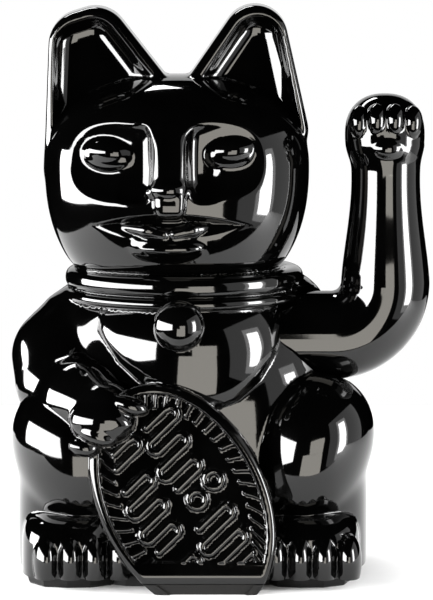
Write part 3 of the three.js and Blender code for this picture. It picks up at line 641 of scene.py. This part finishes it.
def skin(forms, grid):
    """The surface shared by all the forms, as points and four-sided faces with crisp edges."""
    shape = tuple(len(g) for g in grid)
    marked, inside = near_skin(forms, grid)
    index = np.nonzero(marked)
    points = np.stack([g[i] for g, i in zip(grid, index)], 1)
    values = np.stack([in_parallel(form, points) for form in forms], 1).astype(np.float32)
    slot = np.full(shape, -1, np.int32)
    slot[index] = np.arange(len(points), dtype=np.int32)
    solid = inside.copy()
    solid[index] = values.max(1) < 0
    count = np.zeros(tuple(n - 1 for n in shape), np.int8)
    for i, j, k in CORNERS:
        count += solid[i : shape[0] - 1 + i, j : shape[1] - 1 + j, k : shape[2] - 1 + k]
    cells = np.stack(np.nonzero((count > 0) & (count < 8)), 1)
    corner_slots = np.stack([slot[tuple((cells + c).T)] for c in CORNERS], 1)
    whole = (corner_slots >= 0).all(1)
    cells, corner_slots = cells[whole], corner_slots[whole]
    total = np.zeros((len(cells), 3))
    hits = np.zeros(len(cells))
    owners = np.zeros((len(cells), len(forms)), bool)
    for a, b in EDGES:
        va, vb = values[corner_slots[:, a]], values[corner_slots[:, b]]
        la, lb = va.max(1), vb.max(1)
        split = (la < 0) != (lb < 0)
        share = np.where(split, la / np.where(split, la - lb, 1), 0)[:, None]
        start, end = points[corner_slots[:, a]], points[corner_slots[:, b]]
        total += np.where(split[:, None], start + share * (end - start), 0)
        hits += split
        owner = (va + share * (vb - va)).argmax(1)
        owners[np.nonzero(split)[0], owner[split]] = True
    places = total / hits[:, None]
    number = np.full(count.shape, -1, np.int32)
    number[tuple(cells.T)] = np.arange(len(cells), dtype=np.int32)
    faces = []
    for axis in range(3):
        one, two = (axis + 1) % 3, (axis + 2) % 3
        low = [slice(None)] * 3
        high = [slice(None)] * 3
        low[axis], high[axis] = slice(0, -1), slice(1, None)
        change = solid[tuple(low)] != solid[tuple(high)]
        at = np.stack(np.nonzero(change), 1)
        at = at[(at[:, one] > 0) & (at[:, two] > 0)]
        at = at[(at[:, one] < shape[one] - 1) & (at[:, two] < shape[two] - 1)]
        ring = []
        for d1, d2 in ((0, 0), (-1, 0), (-1, -1), (0, -1)):
            cell = at.copy()
            cell[:, one] += d1
            cell[:, two] += d2
            ring.append(number[tuple(cell.T)])
        ring = np.stack(ring, 1)
        outward = solid[tuple(at.T)]
        ring[~outward] = ring[~outward][:, ::-1]
        faces.append(ring[(ring >= 0).all(1)])
    return settle(forms, places, owners), np.concatenate(faces), owners


def settle(forms, places, owners):
    """Moves each point onto every form whose skin passes through its cell."""
    start = places.copy()
    for _ in range(3):
        for n, form in enumerate(forms):
            held = np.nonzero(owners[:, n])[0]
            if not len(held):
                continue
            here = places[held]
            slope = slopes(form, here)
            size = (slope**2).sum(1)
            step = in_parallel(form, here) / np.maximum(size, 0.05)
            places[held] = here - np.clip(step, -0.6, 0.6)[:, None] * slope
    drift = places - start
    far = np.sqrt((drift**2).sum(1)) > 1.2
    places[far] = start[far]
    return places


def mesh_from(name, places, faces, normals=None):
    """A mesh in metres from points in millimetres."""
    mesh = bpy.data.meshes.new(name)
    mesh.vertices.add(len(places))
    mesh.vertices.foreach_set("co", (places * MM).astype(np.float32).ravel())
    mesh.loops.add(faces.size)
    mesh.loops.foreach_set("vertex_index", faces.astype(np.int32).ravel())
    mesh.polygons.add(len(faces))
    mesh.polygons.foreach_set("loop_start", np.arange(0, faces.size, faces.shape[1], dtype=np.int32))
    mesh.polygons.foreach_set("use_smooth", np.ones(len(faces), bool))
    mesh.update(calc_edges=True)
    mesh.validate()
    if normals is not None:
        mesh.normals_split_custom_set(normals.reshape(-1, 3))
    return mesh


def true_normals(forms, places, faces, owners):
    """Each face corner's normal, from the one form that the whole face lies on."""
    shared = owners[faces].all(1)
    choice = shared.argmax(1)
    normals = np.zeros((*faces.shape, 3))
    for n, form in enumerate(forms):
        used = np.nonzero(shared.any(1) & (choice == n))[0]
        if len(used):
            corners = np.unique(faces[used])
            slope = slopes(form, places[corners], 0.05)
            slope /= np.sqrt((slope**2).sum(1))[:, None] + 1e-12
            lookup = np.zeros((len(places), 3))
            lookup[corners] = slope
            normals[used] = lookup[faces[used]]
    rest = np.nonzero(~shared.any(1))[0]
    if len(rest):
        ring = places[faces[rest]]
        flat = np.cross(ring[:, 2] - ring[:, 0], ring[:, 3] - ring[:, 1])
        flat /= np.sqrt((flat**2).sum(1))[:, None] + 1e-12
        normals[rest] = flat[:, None, :]
    return normals


def sculpted(name, forms, spans, coarse=1.0):
    """A finished object from forms and the grid spacing that their details need."""
    grid = [lines([(a, b, s * coarse) for a, b, s in span]) for span in spans]
    places, faces, owners = skin(forms, grid)
    normals = true_normals(forms, places, faces, owners)
    made = bpy.data.objects.new(name, mesh_from(name, stretched(places), faces, normals))
    bpy.context.scene.collection.objects.link(made)
    return made


# ------------------------------------------------------------------ finishes


def linear(code, alpha=1.0):
    """A colour written as sRGB hex, as the shader wants it."""
    made = []
    for at in (0, 2, 4):
        share = int(code[at : at + 2], 16) / 255
        made.append(share / 12.92 if share <= 0.04045 else ((share + 0.055) / 1.055) ** 2.4)
    return (*made, alpha)


def add(tree, kind, settings=(), **links):
    """Adds a node, sets its properties and sockets, and links other sockets to it."""
    node = tree.nodes.new(kind)
    for key, value in dict(settings).items():
        if key.startswith("."):
            setattr(node, key[1:], value)
        else:
            node.inputs[int(key) if key.isdigit() else key].default_value = value
    for key, source in links.items():
        socket = key.replace("_", " ")
        tree.links.new(source, node.inputs[int(socket[1:]) if socket[1:].isdigit() else socket])
    return node


def finish_tree(name):
    """A new material with its shader, its tree and object coordinates."""
    made = bpy.data.materials.new(name)
    made.use_nodes = True
    tree = made.node_tree
    shader = next(n for n in tree.nodes if n.type == "BSDF_PRINCIPLED")
    places = add(tree, "ShaderNodeTexCoord").outputs["Object"]
    return made, tree, shader, places


def gloss_black_abs():
    """Injection-moulded ABS under a clear black lacquer: mirror-like, with the faintest sag."""
    made, tree, shader, places = finish_tree("gloss black lacquered ABS")
    depth = add(tree, "ShaderNodeTexNoise", {"Scale": 60.0, "Detail": 2.0}, Vector=places)
    tone = add(tree, "ShaderNodeValToRGB", Fac=depth.outputs["Fac"])
    tone.color_ramp.elements[0].color = linear("000000")
    tone.color_ramp.elements[1].color = linear("020202")
    tree.links.new(tone.outputs["Color"], shader.inputs["Base Color"])
    shader.inputs["IOR"].default_value = 1.5
    sag = add(tree, "ShaderNodeTexNoise", {"Scale": 90.0, "Detail": 1.0}, Vector=places)
    peel = add(tree, "ShaderNodeTexNoise", {"Scale": 650.0, "Detail": 2.0}, Vector=places)
    wave = add(tree, "ShaderNodeBump", {"Strength": 0.02, "Distance": 0.0002}, Height=sag.outputs["Fac"])
    skin_bump = add(
        tree,
        "ShaderNodeBump",
        {"Strength": 0.012, "Distance": 0.0001},
        Height=peel.outputs["Fac"],
        Normal=wave.outputs["Normal"],
    )
    tree.links.new(skin_bump.outputs["Normal"], shader.inputs["Normal"])
    wipe = add(tree, "ShaderNodeTexNoise", {"Scale": 45.0, "Detail": 3.0}, Vector=places)
    rough = add(
        tree,
        "ShaderNodeMapRange",
        {"From Min": 0.35, "From Max": 0.75, "To Min": 0.045, "To Max": 0.07},
        Value=wipe.outputs["Fac"],
    )
    tree.links.new(rough.outputs["Result"], shader.inputs["Roughness"])
    return made


def satin_black_abs():
    """Unpainted black ABS from a spark-eroded mould: an even fine grain."""
    made, tree, shader, places = finish_tree("satin black ABS")
    grain = add(tree, "ShaderNodeTexNoise", {"Scale": 2600.0, "Detail": 2.0}, Vector=places)
    tone = add(tree, "ShaderNodeValToRGB", Fac=grain.outputs["Fac"])
    tone.color_ramp.elements[0].color = linear("060606")
    tone.color_ramp.elements[1].color = linear("0c0c0c")
    tree.links.new(tone.outputs["Color"], shader.inputs["Base Color"])
    bump = add(tree, "ShaderNodeBump", {"Strength": 0.25, "Distance": 0.0001}, Height=grain.outputs["Fac"])
    tree.links.new(bump.outputs["Normal"], shader.inputs["Normal"])
    shader.inputs["Roughness"].default_value = 0.46
    shader.inputs["Specular IOR Level"].default_value = 0.22
    return made


def mottled(name, dark, light, scale, roughness, metallic=0.0, depth=0.0):
    """A finish whose colour and gloss drift a little over the piece."""
    made, tree, shader, places = finish_tree(name)
    drift = add(tree, "ShaderNodeTexNoise", {"Scale": scale, "Detail": 3.0}, Vector=places)
    tone = add(tree, "ShaderNodeValToRGB", Fac=drift.outputs["Fac"])
    tone.color_ramp.elements[0].position = 0.3
    tone.color_ramp.elements[0].color = linear(dark)
    tone.color_ramp.elements[1].position = 0.7
    tone.color_ramp.elements[1].color = linear(light)
    tree.links.new(tone.outputs["Color"], shader.inputs["Base Color"])
    rough = add(
        tree,
        "ShaderNodeMapRange",
        {"From Min": 0.3, "From Max": 0.7, "To Min": roughness[0], "To Max": roughness[1]},
        Value=drift.outputs["Fac"],
    )
    tree.links.new(rough.outputs["Result"], shader.inputs["Roughness"])
    shader.inputs["Metallic"].default_value = metallic
    if depth:
        bump = add(tree, "ShaderNodeBump", {"Strength": 0.3, "Distance": depth}, Height=drift.outputs["Fac"])
        tree.links.new(bump.outputs["Normal"], shader.inputs["Normal"])
    return made


FINISHES = {}


def finish_for(slot):
    """The finish of one of the record's slots, made the first time it is asked for."""
    if slot not in FINISHES:
        FINISHES[slot] = {
            "gloss_black": gloss_black_abs,
            "plain_black": satin_black_abs,
            "nylon": lambda: mottled("natural nylon 66", "cfcaba", "ddd9cb", 120, (0.42, 0.5), 0, 0.00005),
            "steel": lambda: mottled("zinc plated steel", "9a9c9f", "b9bbbd", 420, (0.22, 0.36), 1, 0.00002),
            "magnet": lambda: mottled("nickel plated magnet", "a5a6a4", "bcbcba", 260, (0.12, 0.2), 1),
            "copper": lambda: mottled("enamelled copper wire", "8a3a14", "b4612c", 900, (0.2, 0.34), 1, 0.00008),
            "board": lambda: mottled("phenolic paper board", "7a5428", "96703a", 700, (0.5, 0.6), 0, 0.00003),
            "component": lambda: mottled("moulded epoxy", "161618", "222226", 900, (0.4, 0.5), 0, 0.00003),
            "red_insulation": lambda: mottled("red PVC", "9c1414", "b81c1c", 500, (0.35, 0.45)),
            "black_insulation": lambda: mottled("black PVC", "0c0c0c", "161616", 500, (0.35, 0.45)),
            "cell_jacket": lambda: mottled("shrink-wrapped steel can", "4d5357", "5c6266", 60, (0.25, 0.32), 0.3),
        }[slot]()
    return FINISHES[slot]


def clad(made, slot, body, *nodes):
    """Gives a new piece its finish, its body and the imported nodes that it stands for."""
    made.data.materials.clear()
    made.data.materials.append(finish_for(slot))
    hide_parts(*nodes)
    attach(made, body)
    return made


# ------------------------------------------------------------------ sizes a user may change


class CatSizes(bpy.types.PropertyGroup):
    fineness: FloatProperty(
        name="Grid spacing", description="How coarse the sculpt's grid is", default=1.0, min=0.5, max=4.0
    )


class StudioSizes(bpy.types.PropertyGroup):
    softbox: FloatProperty(name="Softbox", description="Radiance of the big side softbox", default=26.0, min=0)
    card: FloatProperty(name="Front card", description="Radiance of the card in front", default=6.0, min=0)
    strip: FloatProperty(name="Strip", description="Radiance of the narrow strip light", default=26.0, min=0)
    diffuser: FloatProperty(name="Diffuser", description="Radiance of the dim diffuser", default=0.9, min=0)
    screen: FloatProperty(name="Rear screen", description="Radiance of the screen behind", default=0.9, min=0)
    overhead: FloatProperty(name="Overhead", description="Radiance of the overhead light", default=20.0, min=0)


def detail():
    return bpy.context.scene.cat_sizes.fineness * 1.0


# ------------------------------------------------------------------ the pieces

SHELL_SPANS = (
    [(-51, -29, 0.75), (-29, 24, 0.42), (24, 53, 0.75)],
    [(-45, -22, 0.45), (-22, 38, 0.95)],
    [(1.5, 57, 0.42), (57, 82, 0.7), (82, 124, 0.42), (124, 153, 0.7)],
)
SPLIT = 76.3  # the crease between the collar's two rolls


ARM_HOLE_RADIUS = 12.9
ARM_HOLE_START = 21.5


def arm_hole():
    """Everything outside the round hole in the shoulder where the swinging arm enters."""

    def distance(points):
        away = np.sqrt((points[:, 1] - PIVOT_Y) ** 2 + (points[:, 2] - PIVOT_Z) ** 2)
        return -np.maximum(away - ARM_HOLE_RADIUS, ARM_HOLE_START - points[:, 0])

    return distance


class CAT_OT_front_shell(bpy.types.Operator):
    """Sculpts the front shell: face, collar, bell, bib, arm, coin and feet in one"""

    bl_idname = "cat.front_shell"
    bl_label = "Front shell"

    def execute(self, context):
        forms = [
            figure(),
            half_space(1, SEAM_FRONT, 1),
            half_space(2, FLOOR_OF_SHELLS, -1),
            arm_hole(),
            shell_walls(),
        ]
        wide, deep, high = SHELL_SPANS
        deep = [*deep[:1], (-22, SEAM_FRONT + 2, 0.95)]
        for name, side, rows, coarse in (
            ("front_shell_head_skin", -1, [row for row in high if row[1] > SPLIT], 1.0),
            ("front_shell_body_skin", 1, [row for row in high if row[0] < SPLIT], 1.12),
        ):
            cut = [*forms, half_space(2, SPLIT, side)]
            made = sculpted(name, cut, (wide, deep, rows), detail() * coarse)
            clad(made, "gloss_black", "housing", "front_shell")
        return {"FINISHED"}


class CAT_OT_back_shell(bpy.types.Operator):
    """Sculpts the back shell with the backs of the ears and the tail"""

    bl_idname = "cat.back_shell"
    bl_label = "Back shell"

    def execute(self, context):
        forms = [
            figure(),
            half_space(1, SEAM_BACK, -1),
            half_space(2, FLOOR_OF_SHELLS, -1),
            arm_hole(),
            shell_walls(),
        ]
        spans = (
            [(-51, 53, 0.85)],
            [(0, 3, 0.85), (3, 42, 0.85)],
            [(1.5, 153, 0.85)],
        )
        clad(sculpted("back_shell_skin", forms, spans, detail()), "gloss_black", "housing", "back_shell")
        return {"FINISHED"}


ARM_X = 51.7
ARM_ENTRY = 4.6  # how far the round sleeve runs on into the hole of the shoulder
ARM_BEND = 14.2
ARM_RADIUS = 11.7
STEM_HEIGHTS = (ARM_BEND, 18.7, 26.7, 33.7, 40.7, 44.7, 50.0)
STEM_RADII = (11.7, 11.3, 10.3, 9.45, 9.05, 9.15, 9.6)


def bent_tube():
    """A level tube that turns up through a round elbow into a tapering stem."""
    fit = np.polyfit(STEM_HEIGHTS, STEM_RADII, 4)
    slope = np.polyder(fit)

    def distance(points):
        x, y, z = points[:, 0] - ARM_X + ARM_BEND, points[:, 1] - PIVOT_Y, points[:, 2] - PIVOT_Z
        level = np.sqrt(y * y + z * z) - ARM_RADIUS
        round_elbow = np.sqrt((np.sqrt(x * x + (z - ARM_BEND) ** 2) - ARM_BEND) ** 2 + y * y) - ARM_RADIUS
        high = np.clip(z, STEM_HEIGHTS[0], STEM_HEIGHTS[-1])
        away = np.sqrt((x - ARM_BEND) ** 2 + y * y) - np.polyval(fit, high)
        stem = away / np.sqrt(1 + np.polyval(slope, high) ** 2)
        stem = np.maximum(stem, z - STEM_HEIGHTS[-1])
        return np.where(z > ARM_BEND, stem, np.where(x < 0, level, round_elbow))

    return distance


def swinging_arm():
    """The raised arm: a bent tube that narrows to the wrist, with a round paw."""
    x, y, z = ARM_X, PIVOT_Y, PIVOT_Z
    paw = ball((x - 0.3, y, z + 53.2), (10.5, 10.2, 10.9), squareness=2.3)
    fingers = [
        ball((x - 0.3 + n * 4.7, y - 8.6 + abs(n) * 1.2, z + 58.0 - abs(n) * 0.6), (2.7, 3.2, 4.4))
        for n in (-1.5, -0.5, 0.5, 1.5)
    ]
    pad = ball((x + 0.2, y - 8.0, z + 50.4), (4.2, 3.2, 3.0))
    hand = joined(0.8, paw, *fingers)
    return joined(1.0, joined(2.0, bent_tube(), hand), pad)


class CAT_OT_swinging_arm(bpy.types.Operator):
    """Sculpts the two halves of the swinging arm, with its paw"""

    bl_idname = "cat.swinging_arm"
    bl_label = "Swinging arm"

    def execute(self, context):
        arm = swinging_arm()
        for name, side, level, finer in (
            ("arm_front_shell", 1, ARM_HIGH[1], 0.45),
            ("arm_back_shell", -1, ARM_BACK_LOW[1], 0.6),
        ):
            forms = [
                arm,
                half_space(1, level, side),
                half_space(0, ARM_LOW[0] - ARM_ENTRY, -1),
            ]
            y = (-18, level + 1.1) if side > 0 else (level - 1.1, 10)
            spans = ([(21.5, 66, finer)], [(*y, finer)], [(49, 130, finer)])
            clad(sculpted(name + "_skin", forms, spans, detail()), "gloss_black", "waving_arm", name)
        return {"FINISHED"}


COIL_LAYERS = 5


def winding_tree(name):
    """Geometry nodes that wind layers of round wire: named sizes in, one clad mesh out."""
    tree = bpy.data.node_groups.new(name, "GeometryNodeTree")
    tree.interface.new_socket(name="Geometry", in_out="OUTPUT", socket_type="NodeSocketGeometry")
    for key in ("Outer Radius", "Layer Pitch", "Height", "Turns", "Wire Radius"):
        tree.interface.new_socket(name=key, in_out="INPUT", socket_type="NodeSocketFloat")
    tree.interface.new_socket(name="Finish", in_out="INPUT", socket_type="NodeSocketMaterial")
    sizes = tree.nodes.new("NodeGroupInput").outputs
    section = add(tree, "GeometryNodeCurvePrimitiveCircle", {"Resolution": 8}, Radius=sizes["Wire Radius"])
    bundle = tree.nodes.new("GeometryNodeJoinGeometry")
    for layer in range(COIL_LAYERS):
        drop = add(
            tree, "ShaderNodeMath", {".operation": "MULTIPLY", "1": float(layer)}, s0=sizes["Layer Pitch"]
        )
        radius = add(
            tree, "ShaderNodeMath", {".operation": "SUBTRACT"}, s0=sizes["Outer Radius"], s1=drop.outputs[0]
        )
        path = add(
            tree,
            "GeometryNodeCurveSpiral",
            {"Resolution": 24},
            Rotations=sizes["Turns"],
            Start_Radius=radius.outputs[0],
            End_Radius=radius.outputs[0],
            Height=sizes["Height"],
        )
        wire = add(
            tree,
            "GeometryNodeCurveToMesh",
            {"Fill Caps": True},
            Curve=path.outputs["Curve"],
            Profile_Curve=section.outputs["Curve"],
        )
        tree.links.new(wire.outputs["Mesh"], bundle.inputs["Geometry"])
    whole = add(tree, "GeometryNodeRealizeInstances", Geometry=bundle.outputs["Geometry"])
    clad_wire = add(
        tree, "GeometryNodeSetMaterial", Geometry=whole.outputs["Geometry"], Material=sizes["Finish"]
    )
    out = tree.nodes.new("NodeGroupOutput")
    tree.links.new(clad_wire.outputs["Geometry"], out.inputs["Geometry"])
    return tree


def wound(name, finish, sizes):
    """The plain object that the winding nodes make for some sizes, in metres."""
    made = bpy.data.objects.new(name, bpy.data.meshes.new(name))
    bpy.context.scene.collection.objects.link(made)
    tree = winding_tree("wound wire")
    modifier = made.modifiers.new("wound wire", "NODES")
    modifier.node_group = tree
    for item in tree.interface.items_tree:
        if item.in_out == "INPUT":
            modifier[item.identifier] = finish if item.name == "Finish" else float(sizes[item.name])
    view = bpy.context.evaluated_depsgraph_get()
    mesh = bpy.data.meshes.new_from_object(made.evaluated_get(view))
    made.modifiers.remove(modifier)
    made.data = mesh
    mesh.polygons.foreach_set("use_smooth", np.ones(len(mesh.polygons), bool))
    return made


class CAT_OT_coil_winding(bpy.types.Operator):
    """Winds the copper coil in layers round its bobbin"""

    bl_idname = "cat.coil_winding"
    bl_label = "Coil winding"

    def execute(self, context):
        low, high = box_mm("coil_winding")
        middle = (low + high) / 2
        solid = frame["nodes"]["coil_winding"].data
        around = [math.hypot(v.co.x / MM - middle[0], v.co.y / MM - middle[1]) for v in solid.vertices]
        inner, outer = min(around), max(around)
        wire = (outer - inner) / (2 * COIL_LAYERS)  # drawn thicker than the real 0.1 mm so it shows
        height = high[2] - low[2] - 2 * wire
        made = wound(
            "coil_winding_wire",
            finish_for("copper"),
            {
                "Outer Radius": (outer - wire) * MM,
                "Layer Pitch": 2 * wire * MM,
                "Height": height * MM,
                "Turns": height / (2 * wire),
                "Wire Radius": wire * MM,
            },
        )
        if not made.data.vertices:
            raise RuntimeError("the coil's winding is empty")
        bottom = Vector((middle[0] * MM, middle[1] * MM, (low[2] + wire) * MM))
        made.data.transform(Matrix.Translation(bottom))
        clad(made, "copper", "housing", "coil_winding")
        return {"FINISHED"}


class CAT_OT_mechanism(bpy.types.Operator):
    """Gives the pieces inside and under the cat their finishes"""

    bl_idname = "cat.mechanism"
    bl_label = "Mechanism"

    def execute(self, context):
        slots = {part["node"]: part["material_slot"] for part in frame["record"]["subparts"]}
        for name, node in frame["nodes"].items():
            if node.hide_render:
                continue
            node.data.materials.clear()
            node.data.materials.append(finish_for(slots[name]))
        return {"FINISHED"}


# ------------------------------------------------------------------ the studio


LAMPS_AIM = Vector((0.0, -0.01, 0.062))
CAMERA_AIM = Vector((0.00704, 0.0, 0.0721))
CAMERA_AWAY = 1.3
CAMERA_RISE = math.radians(7.0)
SEEN_HIGH = 0.1593  # the height that the camera takes in, where the figure stands


def panel(name, turn, rise, away, radiance, colour="ffffff"):
    """An area light that fills a range of bearings and heights, unseen by the camera."""
    bearing, middle = math.radians(sum(turn) / 2), math.radians(sum(rise) / 2)
    level = math.cos(middle)
    way = Vector((math.sin(bearing) * level, -math.cos(bearing) * level, math.sin(middle)))
    light = bpy.data.lights.new(name, "AREA")
    light.shape = "RECTANGLE"
    light.size = 2 * away * math.tan(math.radians(turn[1] - turn[0]) / 2) * math.cos(middle)
    light.size_y = 2 * away * math.tan(math.radians(rise[1] - rise[0]) / 2)
    light.energy = radiance * math.pi * light.size * light.size_y
    light.color = linear(colour)[:3]
    made = bpy.data.objects.new(name, light)
    made.location = LAMPS_AIM + way * away
    made.rotation_euler = way.to_track_quat("Z", "Y").to_euler()
    made.visible_camera = False
    bpy.context.scene.collection.objects.link(made)
    return made


def staged(name, mesh, material, **sight):
    made = bpy.data.objects.new(name, mesh)
    made.data.materials.append(material)
    for key, value in sight.items():
        setattr(made, "visible_" + key, value)
    bpy.context.scene.collection.objects.link(made)
    return made


def flat_mesh(name, low, high, level):
    mesh = bpy.data.meshes.new(name)
    corners = [(low[0], low[1]), (high[0], low[1]), (high[0], high[1]), (low[0], high[1])]
    mesh.from_pydata([(x, y, level) for x, y in corners], [], [(0, 1, 2, 3)])
    return mesh


class CAT_OT_studio(bpy.types.Operator):
    """Sets up the floor, the backdrop, the lights and the camera"""

    bl_idname = "cat.studio"
    bl_label = "Studio"

    def execute(self, context):
        sizes = context.scene.studio_sizes
        panel("left softbox", (-112, -28), (-11, 17), 0.50, sizes.softbox)
        panel("front card", (-9, 27), (-36, -4), 0.60, sizes.card, "fffaf0")
        panel("upper card", (4, 26), (-4, 9), 0.60, sizes.card, "fffaf0")
        panel("right diffuser", (38, 116), (-26, 36), 0.42, sizes.diffuser)
        panel("right strip", (60, 75), (-14, 20), 0.30, sizes.strip)
        panel("strip glow", (56, 79), (-19, 25), 0.32, sizes.strip * 0.1)
        panel("rear overhead", (-178, -130), (48, 56), 0.60, sizes.overhead)
        panel("rear screen", (-205, -155), (4, 34), 0.60, sizes.screen)

        paper, tree, shader, places = finish_tree("white sweep paper")
        fibre = add(tree, "ShaderNodeTexNoise", {"Scale": 300.0, "Detail": 3.0}, Vector=places)
        tone = add(tree, "ShaderNodeValToRGB", Fac=fibre.outputs["Fac"])
        tone.color_ramp.elements[0].color = linear("f0f0f0")
        tone.color_ramp.elements[1].color = linear("f6f6f6")
        tree.links.new(tone.outputs["Color"], shader.inputs["Base Color"])
        shader.inputs["Roughness"].default_value = 0.9
        staged("floor", flat_mesh("floor", (-0.21, -0.09), (0.30, 0.30), 0.0), paper)

        glow = bpy.data.materials.new("lit white backdrop")
        glow.use_nodes = True
        glow.node_tree.nodes.clear()
        out = glow.node_tree.nodes.new("ShaderNodeOutputMaterial")
        light = add(glow.node_tree, "ShaderNodeEmission", {"Color": (1, 1, 1, 1), "Strength": 1.0})
        glow.node_tree.links.new(light.outputs[0], out.inputs[0])
        path = add(glow.node_tree, "ShaderNodeLightPath")
        power = add(
            glow.node_tree,
            "ShaderNodeMapRange",
            {"To Min": 1.0, "To Max": 0.45},
            Value=path.outputs["Is Diffuse Ray"],
        )
        glow.node_tree.links.new(power.outputs["Result"], light.inputs["Strength"])
        form = bmesh.new()
        bmesh.ops.create_uvsphere(form, u_segments=48, v_segments=24, radius=4.0)
        dome = bpy.data.meshes.new("backdrop")
        form.to_mesh(dome)
        form.free()
        staged("backdrop", dome, glow, glossy=False, shadow=False, transmission=False)

        world = bpy.data.worlds.new("dark studio")
        context.scene.world = world
        world.use_nodes = True
        world.node_tree.nodes["Background"].inputs["Color"].default_value = (0, 0, 0, 1)
        world.node_tree.nodes["Background"].inputs["Strength"].default_value = 0.0

        camera = bpy.data.cameras.new("camera")
        camera.sensor_width = 36.0
        camera.lens = camera.sensor_width * CAMERA_AWAY / SEEN_HIGH
        camera.clip_end = 20
        made = bpy.data.objects.new("camera", camera)
        made.location = CAMERA_AIM + Vector((0, -math.cos(CAMERA_RISE), math.sin(CAMERA_RISE))) * CAMERA_AWAY
        made.rotation_euler = (math.radians(90) - CAMERA_RISE, 0, 0)
        context.scene.collection.objects.link(made)
        context.scene.camera = made
        context.scene.view_settings.view_transform = "Standard"
        return {"FINISHED"}


class CAT_PT_panel(bpy.types.Panel):
    bl_idname = "CAT_PT_panel"
    bl_label = "Beckoning cat"
    bl_space_type = "VIEW_3D"
    bl_region_type = "UI"
    bl_category = "Cat"

    def draw(self, context):
        for made in OPERATORS:
            self.layout.operator(made.bl_idname)
        self.layout.prop(context.scene.cat_sizes, "fineness")
        for name in ("softbox", "card", "strip", "diffuser", "screen", "overhead"):
            self.layout.prop(context.scene.studio_sizes, name)


OPERATORS = (
    CAT_OT_studio,
    CAT_OT_front_shell,
    CAT_OT_back_shell,
    CAT_OT_swinging_arm,
    CAT_OT_coil_winding,
    CAT_OT_mechanism,
)
CLASSES = (CatSizes, StudioSizes, *OPERATORS, CAT_PT_panel)


def register():
    for made in CLASSES:
        bpy.utils.register_class(made)
    bpy.types.Scene.cat_sizes = PointerProperty(type=CatSizes)
    bpy.types.Scene.studio_sizes = PointerProperty(type=StudioSizes)


def unregister():
    del bpy.types.Scene.studio_sizes
    del bpy.types.Scene.cat_sizes
    for made in reversed(CLASSES):
        bpy.utils.unregister_class(made)


def main():
    register()
    bpy.ops.cat.studio()
    bpy.ops.cat.front_shell()
    bpy.ops.cat.back_shell()
    bpy.ops.cat.swinging_arm()
    bpy.ops.cat.coil_winding()
    bpy.ops.cat.mechanism()
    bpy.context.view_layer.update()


if __name__ == "__main__":
    main()
